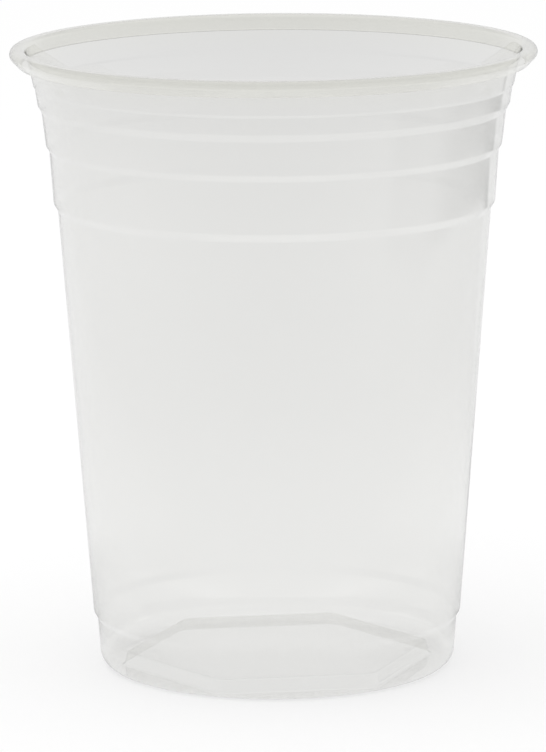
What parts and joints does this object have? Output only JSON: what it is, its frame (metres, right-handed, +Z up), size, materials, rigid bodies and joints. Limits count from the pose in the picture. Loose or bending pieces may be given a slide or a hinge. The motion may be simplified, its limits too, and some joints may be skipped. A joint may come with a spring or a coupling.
{
  "type": "disposable drinking cup",
  "caption": "Clear disposable drinking cup: a tapered thin wall with stepped bands below a flared neck, a rolled rim, and a foot with a raised six-sided panel.",
  "frame": {"origin": "centre of the foot, on the plane that it stands on", "axes": "+Z up along the axis of the cup, from the foot to the rim; +X to the right and +Y away as the picture sees it"},
  "size_m": [0.098, 0.098, 0.117],
  "materials": {
    "clear_plastic": "clear thermoformed PET, glossy on both faces"
  },
  "bodies": {
    "root": {"cup": "clear_plastic"}
  },
  "joints": []
}
